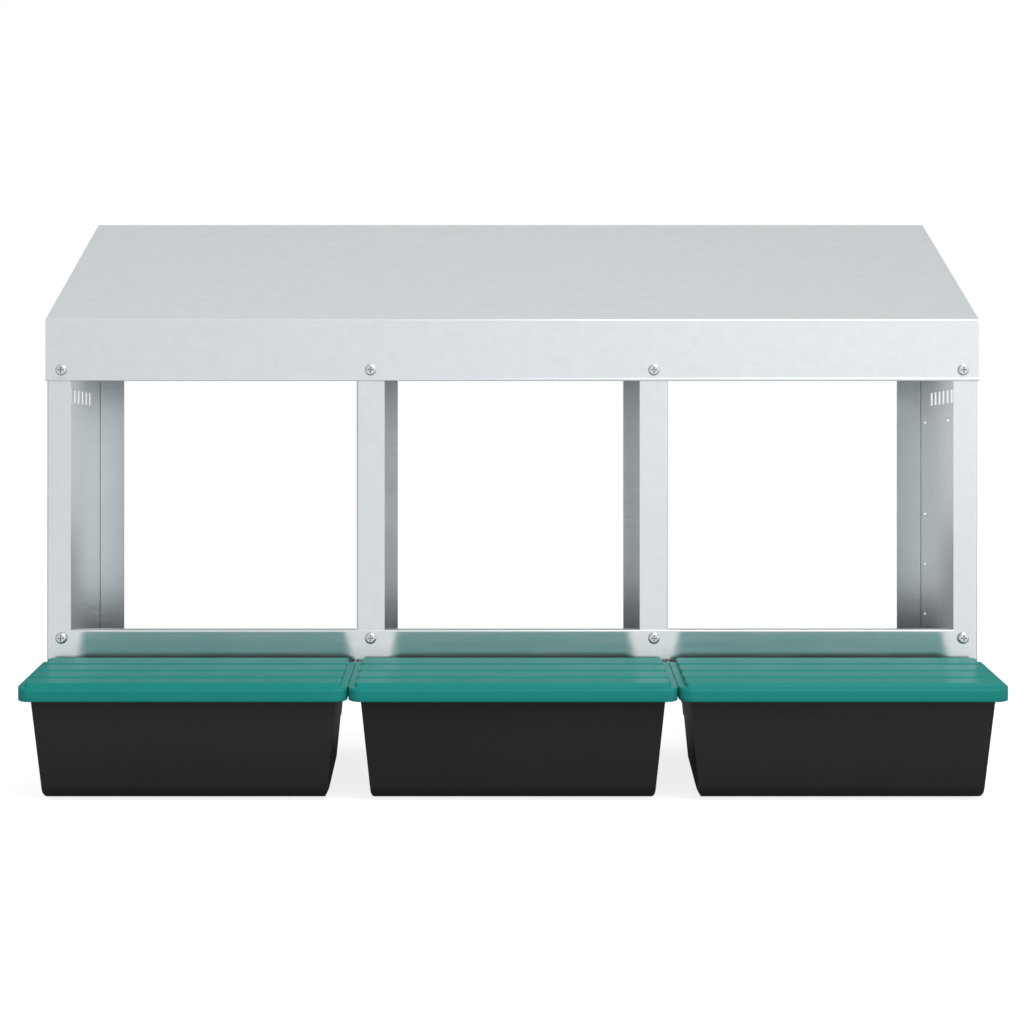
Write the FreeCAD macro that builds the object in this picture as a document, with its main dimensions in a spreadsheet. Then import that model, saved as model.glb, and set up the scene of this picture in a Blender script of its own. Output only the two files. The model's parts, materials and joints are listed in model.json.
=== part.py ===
import FreeCAD, Part
import math
import os
import Sketcher
from FreeCAD import Rotation, Vector

# Three-bay roll-away nest for hens: a folded sheet-metal cabinet whose roof falls towards the
# front, a sloping black nest tray with an egg trough in each bay, and a ribbed lid on each trough.
# X runs to the right, Y to the back, Z up. The origin is the middle of the space it takes up,
# on the floor. All sizes are in millimetres.

SIZES = {
    # cabinet
    "body_width": 930,          # over the two side panels
    "nest_depth": 280,          # front flanges to back flanges
    "sheet": 1,                 # thickness of the galvanised sheet
    "bend_inside": 1,           # inside radius of every fold
    "fit_gap": 0.2,             # gap between sheets that only lie side by side
    "side_flange": 24,          # front flange of a side panel
    "post_flange": 28,          # flanges of a partition, and back flange of a side panel
    "back_hem": 5,              # folded edge of the back flanges
    # heights above the floor
    "fascia_low": 402,
    "fascia_tall": 62,
    "roof_rise": 126,           # the roof's back edge above its front edge
    "band_low": 124,
    "band_tall": 29.5,
    "band_return": 16,          # depth of the stiffening folds of the cross rails
    "partition_down": 40,       # partitions reach so far below the band
    # roof
    "roof_rear_lap": 3,
    "roof_return": 20,
    "roof_skirt": 26,
    "fascia_bead": 3,           # height of the folded lower edge
    "bead_proud": 0.8,
    # cross rails at the back
    "rear_rail_tall": 40,
    "rear_rail_down": 90,       # upper one's underside, below the roof's back edge
    "ledge_below_tray": 0.2,
    # tray: pan in the nest, trough in front of it
    "moulding": 2.5,            # wall of the black mouldings
    "tray_clear": 1.5,          # under the band and beside the runners
    "trough_inset": 9.5,        # trough's side to the middle of the joint between two bays
    "trough_reach": 122,        # trough front to the front flanges
    "trough_low": -1.6,         # where its front and underside would meet if they were not rounded
    "trough_lift": 31,          # how much higher its underside is at the back
    "trough_rear": 18,          # rear wall to the front flanges
    "trough_draft": 5.7,        # degrees, sides and front
    "trough_round": 12,
    "trough_valley": 52,        # length of the trough's floor in front of its ramp
    "trough_valley_round": 30,
    "trough_crest": 25,         # radius where the pan turns down into the trough
    "pan_inset": 15.5,          # pan's side to the middle of the joint between two bays
    "pan_rear_clear": 6,        # pan's back to the back flanges' outer face
    "pan_floor_down": 45,       # nest floor at the front flanges, below the band
    "pan_slope": 6,             # degrees
    "rim_out": 4.5,             # width of the turned-out rim
    "runner_leg": 15,
    "runner_sheet": 1.2,
    # nest mat
    "mat_thick": 5,
    "mat_clear": 3,
    "lay_gap": 0.1,             # gap under a piece that lies loose
    # lid
    "lid_joint": 0.8,           # gap between two lids
    "lid_overhang": 12,         # lid front to the trough's front
    "lid_rear_gap": 8,          # lid's back edge to the front flanges
    "lid_rear_up": 3.3,         # top of the lid carried back to the front flanges, above the band's foot
    "lid_slope": 6.45,          # degrees
    "lid_wall": 2,
    "lid_step": 4,              # raised panel above the flat edge
    "lid_edge": 6.5,            # width of the flat edge
    "lid_skirt": 12.5,
    "lid_corner": 13,
    "lid_seat": 0.8,            # gap between the lid and the tray's rim
    "groove_first": 40,         # first groove to the front flanges
    "groove_pitch": 31,
    "groove_width": 5,
    "groove_deep": 1.4,
    # hinge of the lid
    "hinge_forward": 16,        # pin to the front flanges
    "hinge_down": 11,           # pin below the band
    "pin_radius": 2.5,
    "pin_play": 0.1,
    "ear_wall": 5,              # moulding round a pin
    "relief_down": 27,          # floor of the gap that the lid's tail swings into, below the band
    # fasteners
    "screw_radius": 2.5,
    "screw_head": 5.7,          # radius
    "screw_head_tall": 3,
    "screw_long": 10,
    "cross_slot": 1.2,
    "cross_span": 6,
    "cross_deep": 1.4,
    "hole_play": 0.2,
    "nut_flats": 8,
    "nut_tall": 4,
    "screw_inset": 14.5,        # side panel's outer face to its screws
    "fascia_screw_up": 11,
    "band_screw_up": 21,
    "skirt_screw_down": 13,
    "skirt_screw_in": 40,
    "rivet_radius": 2,
    "rivet_head": 4,            # radius
    "rivet_head_tall": 1.2,
    "runner_rivet_in": 45,
    # openings in the side panels
    "vent_pitch": 20.5,
    "vent_wide": 9,
    "vent_tall": 14,
    "vent_down": 18,            # foot of the slots below the fascia's lower edge
    "vent_back": 7,             # middle of the row behind the panel's middle
    "link_hole": 2.6,           # radius of the spare holes
    "link_back_in": 25,
    "link_front": 6,            # odd spare hole in front of the panel's middle
    "link_down": 35,            # highest spare holes below the fascia's lower edge
    "wall_hole": 4,             # radius of the wall fixing holes
    "wall_hole_in": 14,         # side panel's outer face to the wall fixing holes
    "wall_hole_low": 60,
}
VENT_COUNT = 8
GROOVE_COUNT = 3
BAYS = (-1, 0, 1)
SIDES = {"left": -1, "right": 1}
# spare holes near the back edge of a side panel, measured down from the highest one
LINK_DROPS = (0, 102, 158, 214)

doc = FreeCAD.newDocument("nesting_box")
sheet = doc.addObject("Spreadsheet::Sheet", "Sizes")
for row, (alias, size) in enumerate(SIZES.items(), 1):
    sheet.set(f"A{row}", alias)
    sheet.set(f"B{row}", str(size))
    sheet.setAlias(f"B{row}", alias)
doc.recompute()

# places worked out from the sheet, as expressions
LID_REACH = "(Sizes.trough_reach + Sizes.lid_overhang)"
FRONT = f"(({LID_REACH} - Sizes.nest_depth - Sizes.roof_rear_lap) / 2)"
BACK = f"({FRONT} + Sizes.nest_depth)"
HALF = "(Sizes.body_width / 2)"
PITCH = "((Sizes.body_width + 3 * Sizes.sheet) / 3)"
POST = f"({PITCH} / 2)"
FASCIA_TOP = "(Sizes.fascia_low + Sizes.fascia_tall)"
ROOF_TILT = "(Sizes.roof_rise / Sizes.nest_depth)"
ROOF_THICK = f"(Sizes.sheet * sqrt(1 + {ROOF_TILT} ^ 2))"
BAND_TOP = "(Sizes.band_low + Sizes.band_tall)"
FASCIA_SCREWS = "(Sizes.fascia_low + Sizes.fascia_screw_up)"
BAND_SCREWS = "(Sizes.band_low + Sizes.band_screw_up)"
BEND_OUTSIDE = "(Sizes.bend_inside + Sizes.sheet)"
HINGE_Y = f"({FRONT} - Sizes.hinge_forward)"
HINGE_Z = "(Sizes.band_low - Sizes.hinge_down)"
RIM_TOP = "(Sizes.band_low - Sizes.tray_clear)"
TROUGH_HALF = f"({POST} - Sizes.trough_inset)"
RIM_HALF = f"({TROUGH_HALF} + Sizes.rim_out)"
PAN_HALF = f"({POST} - Sizes.pan_inset)"
EAR = "(Sizes.pin_radius + Sizes.ear_wall)"
HOLE = "(Sizes.screw_radius + Sizes.hole_play)"
RIVET_HOLE = "(Sizes.rivet_radius + Sizes.hole_play / 2)"
LID_HALF = f"({POST} - Sizes.lid_joint / 2)"
LID_TOP = "(Sizes.band_low + Sizes.lid_rear_up)"
RAIL_HIGH = f"({FASCIA_TOP} + Sizes.roof_rise - Sizes.rear_rail_down)"
SCREW_XS = [
    f"(-{HALF} + Sizes.screw_inset)",
    f"(-{POST} + Sizes.post_flange / 2)",
    f"({POST} - Sizes.post_flange / 2)",
    f"({HALF} - Sizes.screw_inset)",
]


def value(expression):
    return float(sheet.evalExpression(expression))


def behind(distance):
    """Y of a place so far behind the front flanges (in front of them when negative)."""
    return f"({FRONT} + ({distance}))"


def roof_under(y):
    """Height of the roof's underside at a depth, less the gap to what it covers."""
    return f"({FASCIA_TOP} + ({y} - {FRONT}) * {ROOF_TILT} - {ROOF_THICK} - Sizes.fit_gap)"


def lid_line(y, drop):
    """Height of a line parallel to the lid's top, so far below it."""
    return f"({LID_TOP} - ({FRONT} - ({y})) * tan(Sizes.lid_slope) - ({drop}))"


def pan_floor(y):
    """Height of the sloping nest floor at a depth."""
    return f"(Sizes.band_low - Sizes.pan_floor_down + ({y} - {FRONT}) * tan(Sizes.pan_slope))"


def rectangle(left, right, low, high):
    return [(left, low), (right, low), (right, high), (left, high)]


def spread(side, near, far):
    """Two places on one side of the middle, the lower first."""
    if side > 0:
        return f"({near})", f"({far})"
    return f"(-({far}))", f"(-({near}))"


TROUGH_REAR = behind("-Sizes.trough_rear")


# ---------------------------------------------------------------- sketches

def add_loop(sketch, corners):
    """A closed outline. Each corner is (x, y) or (x, y, radius), all of them expressions."""
    spots = [Vector(value(corner[0]), value(corner[1]), 0) for corner in corners]
    count = len(corners)
    starts = list(spots)
    ends = [spots[(index + 1) % count] for index in range(count)]
    arcs = {}
    for index, corner in enumerate(corners):
        if len(corner) < 3:
            continue
        radius = value(corner[2])
        towards_last = (spots[index - 1] - spots[index]).normalize()
        towards_next = (spots[(index + 1) % count] - spots[index]).normalize()
        half_angle = towards_last.getAngle(towards_next) / 2
        cut_back = radius / math.tan(half_angle)
        ends[index - 1] = spots[index] + towards_last * cut_back
        starts[index] = spots[index] + towards_next * cut_back
        inward = (towards_last + towards_next).normalize()
        centre = spots[index] + inward * (radius ** 2 + cut_back ** 2) ** 0.5
        arcs[index] = (centre, radius, inward)
    lines = []
    for index in range(count):
        lines.append(sketch.addGeometry(Part.LineSegment(starts[index], ends[index]), False))
    for index in range(count):
        last_line = lines[index - 1]
        line = lines[index]
        across, up = corners[index][0], corners[index][1]
        if index not in arcs:
            sketch.addConstraint(Sketcher.Constraint("Coincident", last_line, 2, line, 1))
            fix_point(sketch, line, across, up)
            continue
        centre, radius, inward = arcs[index]
        middle = centre - inward * radius
        arc = sketch.addGeometry(Part.Arc(ends[index - 1], middle, starts[index]), False)
        turns_left = (ends[index - 1] - centre).cross(starts[index] - centre).z > 0
        first, last = (1, 2) if turns_left else (2, 1)
        sketch.addConstraint(Sketcher.Constraint("Tangent", last_line, 2, arc, first))
        sketch.addConstraint(Sketcher.Constraint("Tangent", arc, last, line, 1))
        corner_point = sketch.addGeometry(Part.Point(spots[index]), True)
        fix_point(sketch, corner_point, across, up)
        sketch.addConstraint(Sketcher.Constraint("PointOnObject", corner_point, 1, last_line))
        sketch.addConstraint(Sketcher.Constraint("PointOnObject", corner_point, 1, line))
        bind(sketch, Sketcher.Constraint("Radius", arc, radius), corners[index][2])


def add_circle(sketch, across, up, radius):
    spot = Vector(value(across), value(up), 0)
    circle = sketch.addGeometry(Part.Circle(spot, Vector(0, 0, 1), value(radius)), False)
    bind(sketch, Sketcher.Constraint("DistanceX", -1, 1, circle, 3, spot.x), across)
    bind(sketch, Sketcher.Constraint("DistanceY", -1, 1, circle, 3, spot.y), up)
    bind(sketch, Sketcher.Constraint("Radius", circle, value(radius)), radius)


def fix_point(sketch, geometry, across, up):
    bind(sketch, Sketcher.Constraint("DistanceX", -1, 1, geometry, 1, value(across)), across)
    bind(sketch, Sketcher.Constraint("DistanceY", -1, 1, geometry, 1, value(up)), up)


def bind(sketch, constraint, expression):
    number = sketch.addConstraint(constraint)
    sketch.setExpression(f"Constraints[{number}]", expression)


def fill(sketch, loops):
    for loop in loops:
        if isinstance(loop, tuple):
            add_circle(sketch, *loop)
        else:
            add_loop(sketch, loop)


# ---------------------------------------------------------------- bodies

def new_body(name):
    body = doc.addObject("PartDesign::Body", name)
    body.Label = name
    body.AllowCompound = True
    return body


def shape_body(body, kind, name, plane, loops, start, end):
    """A Pad or Pocket between two places along the axis that the plane faces."""
    sketch = body.newObject("Sketcher::SketchObject", f"{name}_outline")
    datum = [item for item in body.Origin.OriginFeatures if item.Role == f"{plane}_Plane"][0]
    sketch.AttachmentSupport = [(datum, "")]
    sketch.MapMode = "FlatFace"
    # the XZ plane faces -Y, so its distances count backwards; a Pocket runs against its plane
    from_far_end = (plane == "XZ") != (kind == "Pocket")
    place = end if from_far_end else start
    sketch.setExpression("AttachmentOffset.Base.z", f"-({place})" if plane == "XZ" else place)
    fill(sketch, loops)
    feature = body.newObject(f"PartDesign::{kind}", name)
    feature.Profile = sketch
    feature.setExpression("Length", f"({end}) - ({start})")
    body.Tip = feature
    return feature


def pad(body, name, plane, loops, start, end):
    return shape_body(body, "Pad", name, plane, loops, start, end)


def cut(body, name, plane, loops, start, end):
    doc.recompute()
    before = body.Shape.Volume
    pocket = shape_body(body, "Pocket", name, plane, loops, start, end)
    doc.recompute()
    if body.Shape.Volume > before - 0.01:
        raise ValueError(f"{body.Label}: {name} cuts nothing")
    return pocket


def round_edges(body, name, plane, spots, radius):
    """Rounds the straight edges that stand on the plane at the given spots."""
    doc.recompute()
    axes = {"XY": (0, 1, 2), "XZ": (0, 2, 1), "YZ": (1, 2, 0)}[plane]
    places = [(value(across), value(up)) for across, up in spots]
    edges = []
    for number, edge in enumerate(body.Tip.Shape.Edges, 1):
        ends = [vertex.Point for vertex in edge.Vertexes]
        if len(ends) != 2 or abs(ends[0][axes[2]] - ends[1][axes[2]]) < 0.5:
            continue
        for across, up in places:
            if all(abs(end[axes[0]] - across) < 0.01 and abs(end[axes[1]] - up) < 0.01 for end in ends):
                edges.append(f"Edge{number}")
    base = body.Tip
    fillet = body.newObject("PartDesign::Fillet", name)
    fillet.Base = (base, edges)
    fillet.setExpression("Radius", radius)
    body.Tip = fillet
    return fillet


def prism(name, plane, loops, start, end):
    """A solid with the given outline between two places along the axis that the plane faces."""
    sketch = doc.addObject("Sketcher::SketchObject", f"{name}_outline")
    turns = {
        "XY": (Rotation(), "z", start),
        "XZ": (Rotation(Vector(1, 0, 0), 90), "y", end),
        "YZ": (Rotation(Vector(1, 1, 1), 120), "x", start),
    }
    turn, axis, place = turns[plane]
    sketch.Placement = FreeCAD.Placement(Vector(0, 0, 0), turn)
    sketch.setExpression(f"Placement.Base.{axis}", place)
    fill(sketch, loops)
    solid = doc.addObject("Part::Extrusion", name)
    solid.Base = sketch
    solid.DirMode = "Normal"
    solid.Solid = True
    solid.setExpression("LengthFwd", f"({end}) - ({start})")
    return solid


def fuse(name, pieces):
    joined = doc.addObject("Part::MultiFuse", name)
    joined.Shapes = pieces
    return joined


def overlap(name, pieces):
    """What all the pieces have in common."""
    shared = pieces[0]
    for number, piece in enumerate(pieces[1:], 1):
        label = f"{name}_{number}" if number < len(pieces) - 1 else name
        common = doc.addObject("Part::Common", label)
        common.Base = shared
        common.Tool = piece
        shared = common
    return shared


# ---------------------------------------------------------------- sheet-metal cabinet

def upright(body, side, half, low, front_flange, hem):
    """A web with a flange towards the middle at each end, cut off below the roof."""
    name = body.Label
    outer = f"({side} * {half})"
    inner = f"({side} * ({half} - Sizes.sheet))"
    front_edge = f"({side} * ({half} - {front_flange}))"
    back_edge = f"({side} * ({half} - Sizes.post_flange))"
    front_inner = behind("Sizes.sheet")
    back_inner = behind("Sizes.nest_depth - Sizes.sheet")
    section = [
        (front_edge, FRONT),
        (outer, FRONT, BEND_OUTSIDE),
        (outer, BACK, BEND_OUTSIDE),
        (back_edge, BACK),
    ]
    if hem:
        hem_start = f"({side} * ({half} - Sizes.post_flange + Sizes.back_hem))"
        hem_front = behind("Sizes.nest_depth - 2 * Sizes.sheet")
        section += [(back_edge, hem_front), (hem_start, hem_front), (hem_start, back_inner)]
    else:
        section.append((back_edge, back_inner))
    section.append((inner, back_inner, "Sizes.bend_inside"))
    section += [(inner, front_inner, "Sizes.bend_inside"), (front_edge, front_inner)]
    pad(body, f"{name}_folded_sheet", "XY", [section], low, f"({roof_under(BACK)} + 1)")
    before, beyond = behind("-1"), behind("Sizes.nest_depth + 1")
    top = f"({roof_under(BACK)} + 2)"
    above = [(before, roof_under(before)), (beyond, roof_under(beyond)), (beyond, top), (before, top)]
    across = spread(side, f"{half} - Sizes.post_flange - 1", f"{half} + 1")
    cut(body, f"{name}_sloping_top", "YZ", [above], *across)
    return inner, front_edge, front_inner, back_inner


def side_panel(name, side):
    body = new_body(name)
    inner, front_edge, front_inner, back_inner = upright(body, side, HALF, "0", "Sizes.side_flange", True)
    web = spread(side, f"{HALF} - Sizes.sheet", HALF)
    foot_outline = rectangle(inner, front_edge, FRONT, back_inner)
    pad(body, f"{name}_foot", "XY", [foot_outline], "0", "Sizes.sheet")
    notch_low = f"({pan_floor(TROUGH_REAR)} - 3 * Sizes.moulding - Sizes.tray_clear)"
    notch = rectangle(inner, front_edge, notch_low, "Sizes.band_low")
    notch_back = f"{front_inner} + Sizes.bend_inside"
    cut(body, f"{name}_tray_notch", "XZ", [notch], FRONT, notch_back)
    cut(body, f"{name}_web_holes", "YZ", side_web_holes(), *web)
    screw_x = f"({side} * ({HALF} - Sizes.screw_inset))"
    screws = [(screw_x, FASCIA_SCREWS, HOLE), (screw_x, BAND_SCREWS, HOLE)]
    cut(body, f"{name}_front_holes", "XZ", screws, FRONT, front_inner)
    fixings = [(f"({side} * ({HALF} - Sizes.wall_hole_in))", height, "Sizes.wall_hole")
               for height in wall_hole_heights()]
    rivets = [(rail_rivet_x(side), height, RIVET_HOLE) for height in rail_rivet_heights()]
    cut(body, f"{name}_back_holes", "XZ", fixings + rivets, back_inner, BACK)
    return body


def side_web_holes():
    """Vent slots, spare holes for linking nests, and fastener holes in a side panel's web."""
    loops = []
    for number in range(VENT_COUNT):
        step = number - (VENT_COUNT - 1) / 2
        middle = behind(f"Sizes.nest_depth / 2 + Sizes.vent_back + {step} * Sizes.vent_pitch")
        near, far = f"{middle} - Sizes.vent_wide / 2", f"{middle} + Sizes.vent_wide / 2"
        low = "(Sizes.fascia_low - Sizes.vent_down)"
        loops.append(rectangle(near, far, low, f"({low} + Sizes.vent_tall)"))
    link_high = "(Sizes.fascia_low - Sizes.link_down)"
    back_line = behind("Sizes.nest_depth - Sizes.link_back_in")
    for drop in LINK_DROPS:
        loops.append((back_line, f"{link_high} - {drop}", "Sizes.link_hole"))
    loops.append((behind("Sizes.nest_depth / 2 - Sizes.link_front"), link_high, "Sizes.link_hole"))
    for spot in skirt_screw_spots():
        loops.append((*spot, HOLE))
    for spot in runner_rivet_spots():
        loops.append((*spot, RIVET_HOLE))
    return loops


def skirt_screw_spots():
    """(y, height) of the screws through the roof's side skirts."""
    spots = []
    for y in (behind("Sizes.skirt_screw_in"), behind("Sizes.nest_depth - Sizes.skirt_screw_in")):
        spots.append((y, f"({roof_under(y)} - Sizes.skirt_screw_down)"))
    return spots


def runner_rivet_spots():
    """(y, height) of the rivets that hold a tray runner."""
    height = f"({RUNNER_TOP} - Sizes.runner_sheet - Sizes.runner_leg / 2)"
    ys = (behind("Sizes.runner_rivet_in"), behind("Sizes.nest_depth - Sizes.runner_rivet_in"))
    return [(y, height) for y in ys]


def wall_hole_heights():
    return ("Sizes.wall_hole_low", f"({RAIL_HIGH} + Sizes.rear_rail_tall / 2)")


def rail_rivet_heights():
    low_rail = f"({LEDGE_TOP} - Sizes.rear_rail_tall / 2)"
    return (low_rail, f"({RAIL_HIGH} + Sizes.rear_rail_tall / 4)")


def rail_rivet_x(side):
    return f"({side} * ({HALF} - Sizes.screw_inset / 2))"


RUNNER_TOP = f"({RIM_TOP} - Sizes.moulding - Sizes.ledge_below_tray)"
LEDGE_TOP = (f"({pan_floor(behind('Sizes.nest_depth - Sizes.band_return'))}"
             " - Sizes.moulding - Sizes.ledge_below_tray)")


def partition(name, side):
    body = new_body(name)
    low = "(Sizes.band_low - Sizes.partition_down)"
    inner, edge, front_inner, back_inner = upright(body, side, POST, low, "Sizes.post_flange", False)
    web = spread(side, f"{POST} - Sizes.sheet", POST)
    below_band = rectangle(inner, edge, low, "Sizes.band_low")
    cut(body, f"{name}_tray_notch", "XZ", [below_band], FRONT, f"{front_inner} + Sizes.bend_inside")
    rivets = [(*spot, RIVET_HOLE) for spot in runner_rivet_spots()]
    cut(body, f"{name}_web_holes", "YZ", rivets, *web)
    screw_x = f"({side} * ({POST} - Sizes.post_flange / 2))"
    screws = [(screw_x, FASCIA_SCREWS, HOLE), (screw_x, BAND_SCREWS, HOLE)]
    cut(body, f"{name}_front_holes", "XZ", screws, FRONT, front_inner)
    rivets = [(screw_x, height, RIVET_HOLE) for height in rail_rivet_heights()]
    cut(body, f"{name}_back_holes", "XZ", rivets, back_inner, BACK)
    return body


def roof_panel(name):
    body = new_body(name)
    half_width = f"({HALF} + Sizes.fit_gap + Sizes.sheet)"
    fascia_in = behind("-Sizes.fit_gap")
    fascia_out = behind("-Sizes.fit_gap - Sizes.sheet")
    rear_out = behind("Sizes.nest_depth + Sizes.roof_rear_lap")
    rear_in = behind("Sizes.nest_depth + Sizes.roof_rear_lap - Sizes.sheet")

    def top(y, drop="0"):
        return f"({FASCIA_TOP} + ({y} - {FRONT}) * {ROOF_TILT} - {drop})"

    inside, outside = "Sizes.bend_inside", BEND_OUTSIDE
    return_low = top(rear_out, "Sizes.roof_return")
    folded = [
        (fascia_out, "Sizes.fascia_low"),
        (fascia_in, "Sizes.fascia_low"),
        (fascia_in, top(fascia_in, ROOF_THICK), inside),
        (rear_in, top(rear_in, ROOF_THICK), inside),
        (rear_in, return_low),
        (rear_out, return_low),
        (rear_out, top(rear_out), outside),
        (fascia_out, top(fascia_out), outside),
    ]
    pad(body, f"{name}_folded_sheet", "YZ", [folded], f"-{half_width}", half_width)
    bead_out = behind("-Sizes.fit_gap - Sizes.sheet - Sizes.bead_proud")
    bead_top = "(Sizes.fascia_low + Sizes.fascia_bead)"
    bead_round = "(Sizes.bead_proud * 0.9)"
    bead = [
        (bead_out, "Sizes.fascia_low", bead_round),
        (fascia_out, "Sizes.fascia_low"),
        (fascia_out, bead_top),
        (bead_out, bead_top, bead_round),
    ]
    pad(body, f"{name}_bead", "YZ", [bead], f"-{half_width}", half_width)
    skirt_front, skirt_back = behind("0"), behind("Sizes.nest_depth")
    skirt = [
        (skirt_front, top(skirt_front, "Sizes.roof_skirt")),
        (skirt_back, top(skirt_back, "Sizes.roof_skirt")),
        (skirt_back, top(skirt_back, "Sizes.sheet")),
        (skirt_front, top(skirt_front, "Sizes.sheet")),
    ]
    for label, side in SIDES.items():
        reach = spread(side, f"{HALF} + Sizes.fit_gap", half_width)
        pad(body, f"{name}_skirt_{label}", "YZ", [skirt], *reach)
    screws = [(x, FASCIA_SCREWS, HOLE) for x in SCREW_XS]
    cut(body, f"{name}_fascia_holes", "XZ", screws, fascia_out, fascia_in)
    side_screws = [(*spot, HOLE) for spot in skirt_screw_spots()]
    for label, side in SIDES.items():
        reach = spread(side, f"{HALF} + Sizes.fit_gap", half_width)
        cut(body, f"{name}_skirt_holes_{label}", "YZ", side_screws, *reach)
    return body


def gaps_between_uprights(side_flange):
    """Left and right limits of the three gaps between the uprights' flanges and webs."""
    side_edge = f"({HALF} - {side_flange} - Sizes.tray_clear)"
    web_out = f"({POST} + Sizes.tray_clear)"
    flange_edge = f"({POST} - Sizes.post_flange - Sizes.tray_clear)"
    return [(f"-{side_edge}", f"-{web_out}"), (f"-{flange_edge}", flange_edge), (web_out, side_edge)]


def cross_rail(name, low, high, plate, fold, fold_reach, side_flange):
    """A folded strip over the full width, with a stiffening fold between the uprights."""
    body = new_body(name)
    pad(body, f"{name}_plate", "XZ", [rectangle(f"-{HALF}", HALF, low, high)], *plate)
    folds = [rectangle(left, right, *fold_reach) for left, right in gaps_between_uprights(side_flange)]
    pad(body, f"{name}_fold", "XY", folds, fold, f"({fold} + Sizes.sheet)")
    return body


def front_band(name):
    plate = (behind("-Sizes.sheet"), FRONT)
    fold = f"({BAND_TOP} - Sizes.sheet)"
    reach = (plate[0], behind("Sizes.band_return"))
    body = cross_rail(name, "Sizes.band_low", BAND_TOP, plate, fold, reach, "Sizes.side_flange")
    round_edges(body, f"{name}_top_edge", "YZ", [(plate[0], BAND_TOP)], "(Sizes.sheet * 0.9)")
    screws = [(x, BAND_SCREWS, HOLE) for x in SCREW_XS]
    cut(body, f"{name}_holes", "XZ", screws, *plate)
    return body


def rear_rail(name, low, fold, upper):
    plate = (BACK, behind("Sizes.nest_depth + Sizes.sheet"))
    reach = (behind("Sizes.nest_depth - Sizes.band_return"), plate[1])
    high = f"({low} + Sizes.rear_rail_tall)"
    body = cross_rail(name, low, high, plate, fold, reach, "Sizes.post_flange")
    height = rail_rivet_heights()[upper]
    holes = [(x, height, RIVET_HOLE) for x in RAIL_RIVET_XS]
    if upper:
        for side in SIDES.values():
            x = f"({side} * ({HALF} - Sizes.wall_hole_in))"
            holes.append((x, wall_hole_heights()[1], "Sizes.wall_hole"))
    cut(body, f"{name}_holes", "XZ", holes, *plate)
    return body


RAIL_RIVET_XS = [rail_rivet_x(-1), SCREW_XS[1], SCREW_XS[2], rail_rivet_x(1)]


# ---------------------------------------------------------------- fasteners

def cross(x, z):
    """Outline of a cross recess, centred at a screw."""
    slot, span = "Sizes.cross_slot / 2", "Sizes.cross_span / 2"
    walk = [(slot, slot), (slot, span), (f"-{slot}", span), (f"-{slot}", slot)]
    walk += [(f"-{span}", slot), (f"-{span}", f"-{slot}"), (f"-{slot}", f"-{slot}")]
    walk += [(f"-{slot}", f"-{span}"), (slot, f"-{span}"), (slot, f"-{slot}")]
    walk += [(span, f"-{slot}"), (span, slot)]
    return [(f"{x} + ({across})", f"{z} + ({up})") for across, up in walk]


def screws(name, plane, spots, surface, inward):
    """Pan-head screws whose heads sit on a surface; inward is +1 or -1 along their axis."""
    body = new_body(name)
    head_top = f"({surface} - {inward} * Sizes.screw_head_tall)"
    tip = f"({surface} + {inward} * Sizes.screw_long)"
    recess = f"({head_top} + {inward} * Sizes.cross_deep)"
    heads = [(x, z, "Sizes.screw_head") for x, z in spots]
    shanks = [(x, z, "Sizes.screw_radius") for x, z in spots]
    pad(body, f"{name}_heads", plane, heads, *ordered(head_top, surface))
    doc.recompute()
    rounds = []
    for number, edge in enumerate(body.Tip.Shape.Edges, 1):
        middle = edge.BoundBox.Center
        along = middle.y if plane == "XZ" else middle.x
        if len(edge.Vertexes) == 1 and abs(along - value(head_top)) < 0.01:
            rounds.append(f"Edge{number}")
    base = body.Tip
    dome = body.newObject("PartDesign::Fillet", f"{name}_domes")
    dome.Base = (base, rounds)
    dome.setExpression("Radius", "Sizes.screw_head_tall * 0.7")
    body.Tip = dome
    pad(body, f"{name}_shanks", plane, shanks, *ordered(surface, tip))
    cut(body, f"{name}_recesses", plane, [cross(x, z) for x, z in spots], *ordered(head_top, recess))
    return body


def ordered(first, second):
    return (first, second) if value(first) < value(second) else (second, first)


def hexagon(x, z):
    across_corners = "Sizes.nut_flats / 2 / cos(30)"
    corners = []
    for number in range(6):
        turn = 60 * number
        corners.append((f"{x} + {across_corners} * cos({turn})", f"{z} + {across_corners} * sin({turn})"))
    return corners


def nuts(name, plane, spots, surface, outward):
    """Hexagon nuts that sit on a surface, each with its own bore."""
    body = new_body(name)
    far = f"({surface} + {outward} * Sizes.nut_tall)"
    reach = ordered(surface, far)
    pad(body, f"{name}_blanks", plane, [hexagon(x, z) for x, z in spots], *reach)
    bores = [(x, z, "(Sizes.screw_radius + Sizes.pin_play)") for x, z in spots]
    cut(body, f"{name}_bores", plane, bores, *reach)
    return body


def rivets(name, plane, spots, stacks):
    """Blind rivets through stacks of sheets, each of which lies between two faces."""
    body = new_body(name)
    shanks = [(x, z, "Sizes.rivet_radius") for x, z in spots]
    heads = [(x, z, "Sizes.rivet_head") for x, z in spots]
    for number, (near, far) in enumerate(stacks, 1):
        pad(body, f"{name}_{number}_shanks", plane, shanks, near, far)
        pad(body, f"{name}_{number}_near_heads", plane, heads, f"({near} - Sizes.rivet_head_tall)", near)
        pad(body, f"{name}_{number}_far_heads", plane, heads, far, f"({far} + Sizes.rivet_head_tall)")
    return body


# ---------------------------------------------------------------- trays, mats and lids

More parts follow.
